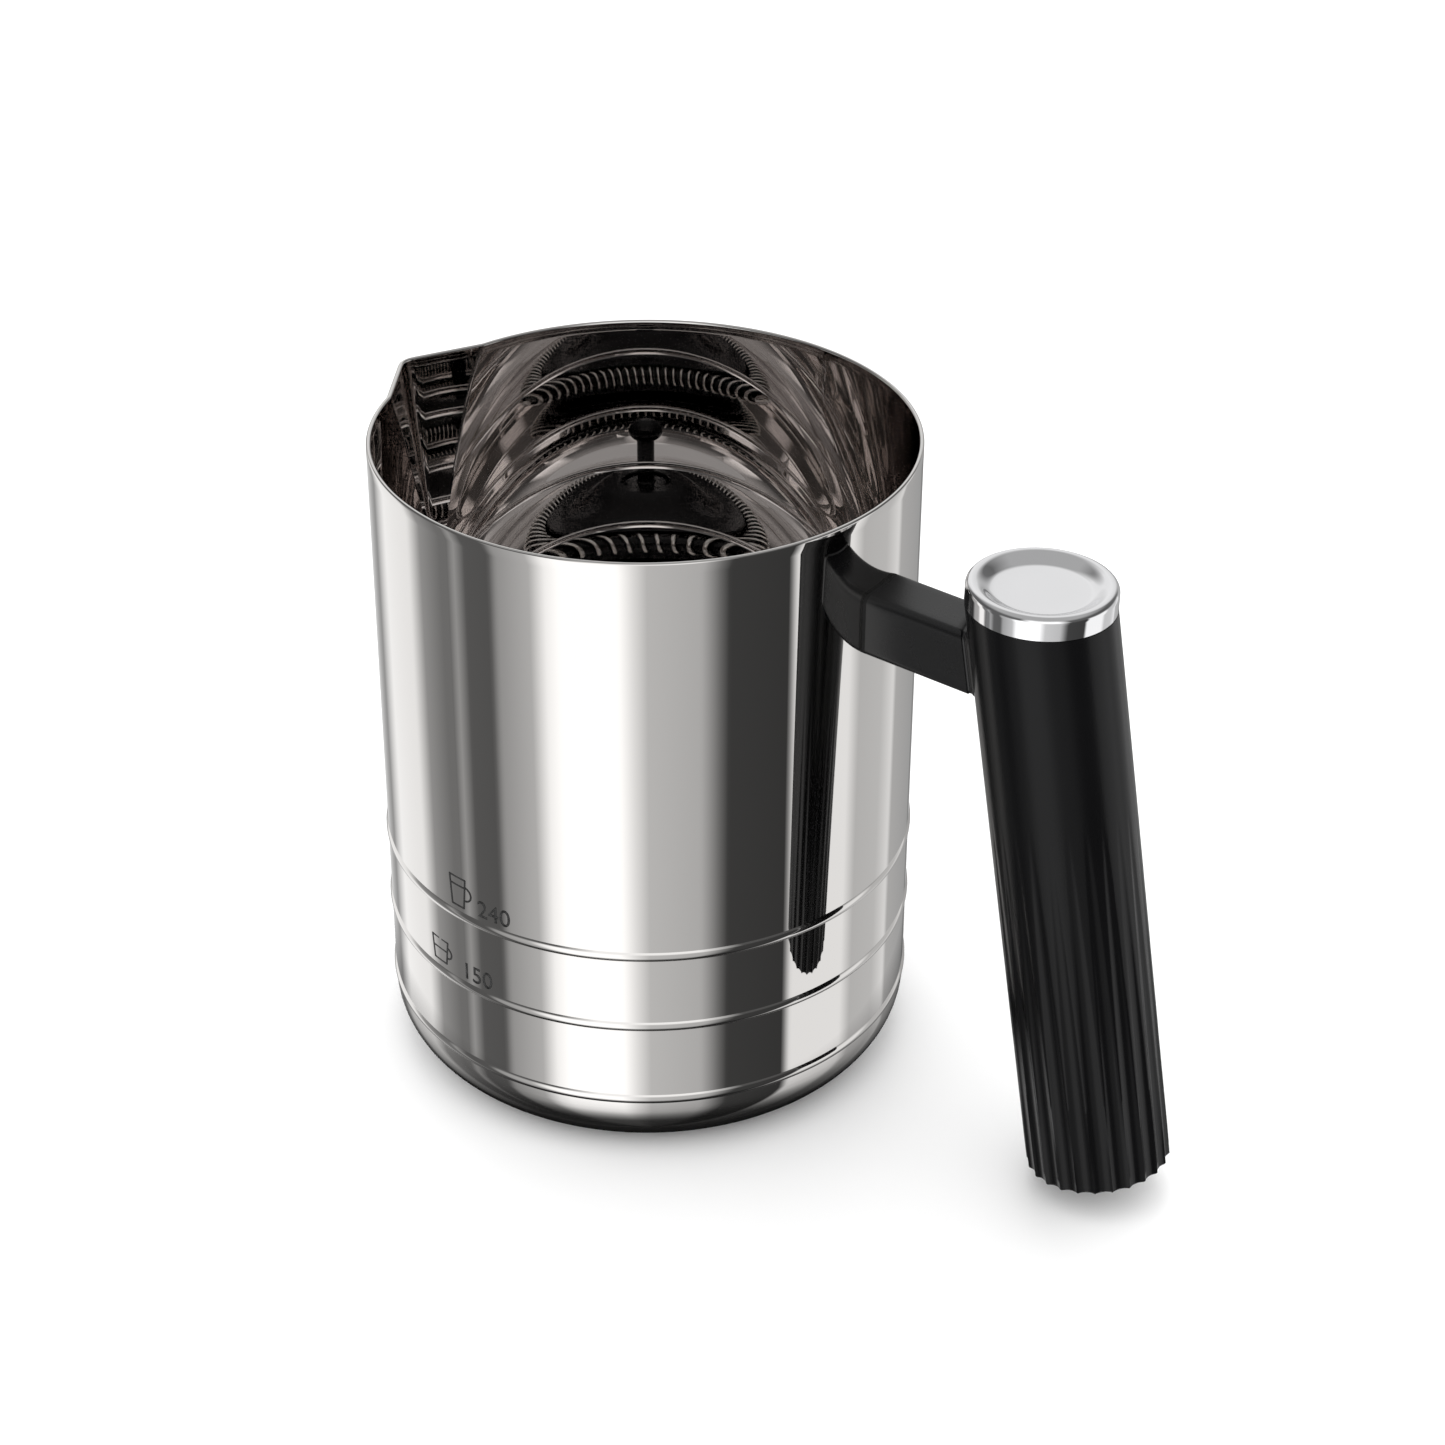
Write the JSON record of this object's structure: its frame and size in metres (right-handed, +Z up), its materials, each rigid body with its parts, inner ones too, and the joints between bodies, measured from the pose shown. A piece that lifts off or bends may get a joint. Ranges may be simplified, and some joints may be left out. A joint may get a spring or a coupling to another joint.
{
  "type": "milk frother",
  "caption": "Spouted steel frothing jug with a fluted side grip on a short arm, raised fill lines, and a lift-out magnet-driven coil whisk that turns on a centre pin.",
  "frame": {"origin": "centre of the jug's base, on the surface it stands on", "axes": "+Z up along the jug's axis, +X towards the grip, the spout points to -X"},
  "size_m": [0.1518, 0.0906, 0.113],
  "materials": {
    "polished_steel": "mirror-polished stainless steel",
    "base_steel": "turned ferritic steel",
    "cap_chrome": "bright chrome plate",
    "black_plastic": "black satin moulding",
    "grip_plastic": "black satin fluted moulding",
    "inner_plastic": "glass-filled moulding",
    "bush_plastic": "natural acetal",
    "whisk_plastic": "black food-grade moulding",
    "seal_rubber": "black silicone rubber",
    "fastener_steel": "plain stainless steel",
    "magnet_metal": "nickel-plated magnet",
    "coil_steel": "bright spring wire"
  },
  "bodies": {
    "jug": {"jug_body": "polished_steel", "base_disc": "base_steel", "whisk_pin": "polished_steel", "wall_bracket": "polished_steel", "arm_gasket": "seal_rubber", "handle_arm": "black_plastic", "bracket_screws": "fastener_steel", "screw_plugs": "seal_rubber", "grip_sleeve": "grip_plastic", "grip_core": "inner_plastic", "sleeve_seals": "seal_rubber", "tie_washer": "fastener_steel", "tie_nut": "fastener_steel", "tie_screw": "fastener_steel", "bottom_plug": "black_plastic", "plug_seal": "seal_rubber", "plug_cover": "seal_rubber", "cap_carrier": "inner_plastic", "cap_seal": "seal_rubber", "end_cap": "cap_chrome"},
    "bearing": {"bearing_bush": "bush_plastic"},
    "whisk": {"whisk_hub": "whisk_plastic", "drive_magnets": "magnet_metal", "keeper_ring": "base_steel", "whisk_cover": "whisk_plastic", "whisk_knob": "whisk_plastic", "whisk_coil": "coil_steel"}
  },
  "joints": [
    {"name": "whisk_lift", "type": "slide", "parent": "jug", "child": "bearing", "axis": [0, 0, 1], "range_m": [0, 0.112]},
    {"name": "whisk_spin", "type": "hinge", "parent": "bearing", "child": "whisk", "pos_m": [0, 0, 0.009], "axis": [0, 0, 1], "continuous": true}
  ]
}
